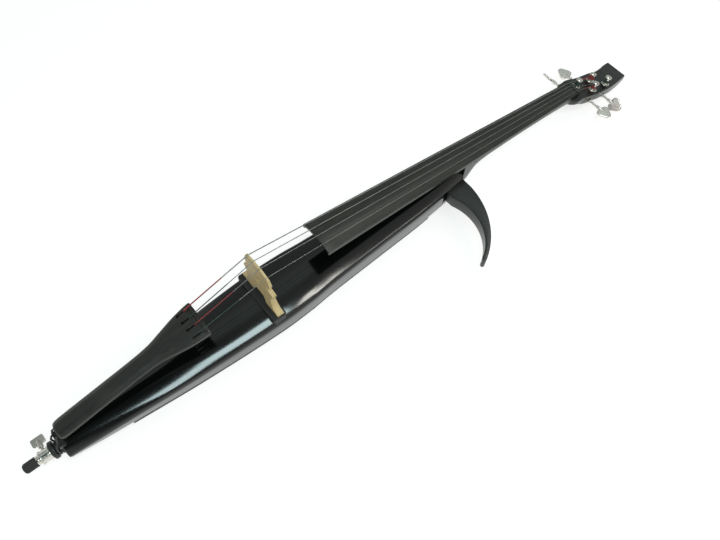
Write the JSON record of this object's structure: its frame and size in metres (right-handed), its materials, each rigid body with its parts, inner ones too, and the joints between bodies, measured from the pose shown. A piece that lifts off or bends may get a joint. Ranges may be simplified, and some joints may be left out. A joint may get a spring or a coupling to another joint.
{
  "type": "electric cello",
  "caption": "Slim solid-body electric cello on its back, with a folding bout arm, worm-geared tuning machines, sliding endpin, bridge, tailpiece and a preamp housing.",
  "frame": {"origin": "on the back housing's flat resting face, straight under the bridge on the centre line", "axes": "+X along the body towards the head, +Y towards the lowest string's side, +Z out of the playing side"},
  "size_m": [1.2403, 0.2325, 0.1684],
  "materials": {
    "lacquer": "deep gloss lacquer, wet-looking",
    "satin_black": "satin lacquer on carved wood, slight orange peel",
    "ebony": "oiled ebony, satin, fine straight pores",
    "maple": "bare maple, fine ray flecks, satin",
    "moulded_black": "moulded plastic, fine grain, satin",
    "soft_black": "matte rubber",
    "chrome": "plated, mirror-bright, warm",
    "satin_steel": "brushed along its length",
    "brass": "machined brass, lightly tarnished",
    "wound_steel": "flat-wound steel, silk at the ends",
    "circuit": "solder mask over laminate",
    "cell": "printed sleeve over a steel can"
  },
  "bodies": {
    "instrument": {"body_shell": "lacquer", "back_housing": "moulded_black", "housing_screw_1": "satin_steel", "housing_screw_2": "satin_steel", "housing_screw_3": "satin_steel", "housing_screw_4": "satin_steel", "battery_lid_pin": "satin_steel", "battery": "cell", "preamp_board": "circuit", "control_panel": "moulded_black", "volume_control": "satin_steel", "power_switch": "moulded_black", "output_jack": "moulded_black", "phones_jack": "moulded_black", "horn_pin": "satin_steel", "endpin_collar": "moulded_black", "endpin_washer": "moulded_black", "endpin_socket": "chrome", "endpin_tube": "satin_steel", "neck": "satin_black", "fingerboard": "ebony", "nut": "ebony", "bridge_base": "moulded_black", "bridge": "maple", "tailpiece": "ebony", "tailpiece_fret": "ebony", "saddle": "ebony", "tailgut": "moulded_black", "string_c": "wound_steel", "string_g": "wound_steel", "string_d": "wound_steel", "string_a": "wound_steel", "post_collar_g": "chrome", "key_bushing_g": "chrome", "post_collar_a": "chrome", "key_bushing_a": "chrome", "post_collar_c": "chrome", "key_bushing_c": "chrome", "post_collar_d": "chrome", "key_bushing_d": "chrome"},
    "key_c": {"tuning_key_c": "satin_steel"},
    "post_c": {"string_post_c": "chrome", "string_wheel_c": "brass"},
    "key_g": {"tuning_key_g": "satin_steel"},
    "post_g": {"string_post_g": "chrome", "string_wheel_g": "brass"},
    "key_d": {"tuning_key_d": "satin_steel"},
    "post_d": {"string_post_d": "chrome", "string_wheel_d": "brass"},
    "key_a": {"tuning_key_a": "satin_steel"},
    "post_a": {"string_post_a": "chrome", "string_wheel_a": "brass"},
    "endpin": {"endpin_rod": "satin_steel", "endpin_ferrule": "chrome", "endpin_tip": "soft_black"},
    "thumb_screw": {"thumb_screw": "satin_steel"},
    "horn": {"horn_arm": "lacquer"},
    "battery_lid": {"battery_lid": "moulded_black"},
    "volume_knob": {"volume_knob": "moulded_black"},
    "power_button": {"power_button": "soft_black"}
  },
  "joints": [
    {"name": "key_turn_c", "type": "hinge", "parent": "instrument", "child": "key_c", "pos_m": [0.73659, 0, 0.02742], "axis": [0, 1, 0], "continuous": true},
    {"name": "post_turn_c", "type": "hinge", "parent": "instrument", "child": "post_c", "pos_m": [0.75051, 0.00151, 0.03931], "axis": [0.2504, 0, 0.9681], "continuous": true},
    {"name": "key_turn_g", "type": "hinge", "parent": "instrument", "child": "key_g", "pos_m": [0.6946, 0, 0.03828], "axis": [0, 1, 0], "continuous": true},
    {"name": "post_turn_g", "type": "hinge", "parent": "instrument", "child": "post_g", "pos_m": [0.70852, 0.00251, 0.05017], "axis": [0.2504, 0, 0.9681], "continuous": true},
    {"name": "key_turn_d", "type": "hinge", "parent": "instrument", "child": "key_d", "pos_m": [0.75907, 0, 0.0216], "axis": [0, 1, 0], "continuous": true},
    {"name": "post_turn_d", "type": "hinge", "parent": "instrument", "child": "post_d", "pos_m": [0.77299, -0.01949, 0.0335], "axis": [0.2504, 0, 0.9681], "continuous": true},
    {"name": "key_turn_a", "type": "hinge", "parent": "instrument", "child": "key_a", "pos_m": [0.71951, 0, 0.03184], "axis": [0, 1, 0], "continuous": true},
    {"name": "post_turn_a", "type": "hinge", "parent": "instrument", "child": "post_a", "pos_m": [0.73343, -0.01901, 0.04373], "axis": [0.2504, 0, 0.9681], "continuous": true},
    {"name": "endpin_slide", "type": "slide", "parent": "instrument", "child": "endpin", "axis": [-1, 0, 0], "range_m": [0, 0.3]},
    {"name": "thumb_screw_turn", "type": "hinge", "parent": "instrument", "child": "thumb_screw", "pos_m": [-0.36905, 0, 0.041], "axis": [0, 1, 0], "range_deg": [0, 180]},
    {"name": "horn_fold", "type": "hinge", "parent": "instrument", "child": "horn", "pos_m": [0.35796, -0.0245, 0.0535], "axis": [0, 0, 1], "range_deg": [-30, 0]},
    {"name": "battery_lid_swing", "type": "hinge", "parent": "instrument", "child": "battery_lid", "pos_m": [-0.2533, 0, 0.0042], "axis": [0, -1, 0], "range_deg": [0, 95]},
    {"name": "volume_turn", "type": "hinge", "parent": "instrument", "child": "volume_knob", "pos_m": [0.07856, 0.03898, 0.047], "axis": [0, 1, 0], "range_deg": [-150, 150]},
    {"name": "power_press", "type": "slide", "parent": "instrument", "child": "power_button", "axis": [0, -1, 0], "range_m": [0, 0.0015], "stiffness_N_per_m": 150, "springref_m": -0.002}
  ],
  "couplings": [
    {"joint": "post_turn_c", "follows": "key_turn_c", "ratio": 0.05},
    {"joint": "post_turn_g", "follows": "key_turn_g", "ratio": 0.05},
    {"joint": "post_turn_d", "follows": "key_turn_d", "ratio": 0.05},
    {"joint": "post_turn_a", "follows": "key_turn_a", "ratio": 0.05}
  ]
}
